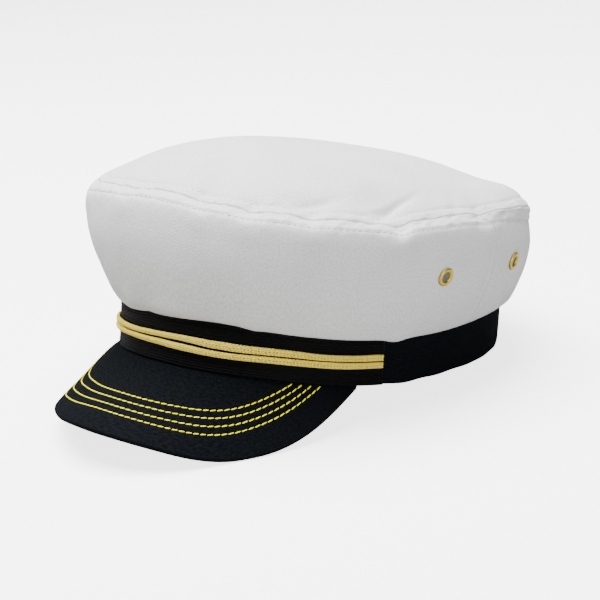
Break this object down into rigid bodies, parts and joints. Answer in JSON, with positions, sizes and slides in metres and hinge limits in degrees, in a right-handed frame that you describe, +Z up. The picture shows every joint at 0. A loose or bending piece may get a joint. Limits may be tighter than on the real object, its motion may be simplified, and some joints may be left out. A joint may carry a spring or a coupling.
{
  "type": "captain hat",
  "caption": "Soft peaked cap with a full white domed crown, navy head band and arched navy peak, black front ribbon with gold braids, and brass vent eyelets.",
  "frame": {"origin": "on the table, under the middle of the box of the whole hat as it rests", "axes": "+Z up from the table, -Y the way the wearer faces, +X the wearer's left"},
  "size_m": [0.2036, 0.2766, 0.1259],
  "materials": {
    "white_cotton": "matte cotton twill",
    "navy_twill": "matte twill",
    "black_ribbon": "lengthwise ribbed, low sheen",
    "gold_braid": "satin metallic-look braid",
    "brass": "pressed, satin"
  },
  "bodies": {
    "root": {"crown_top": "white_cotton", "crown_side_front": "white_cotton", "crown_side_back": "white_cotton", "band": "navy_twill", "band_ribbon": "black_ribbon", "braid_lower": "gold_braid", "braid_upper": "gold_braid", "peak": "navy_twill", "eyelet_left_front": "brass", "eyelet_left_back": "brass", "eyelet_right_front": "brass", "eyelet_right_back": "brass"}
  },
  "joints": []
}
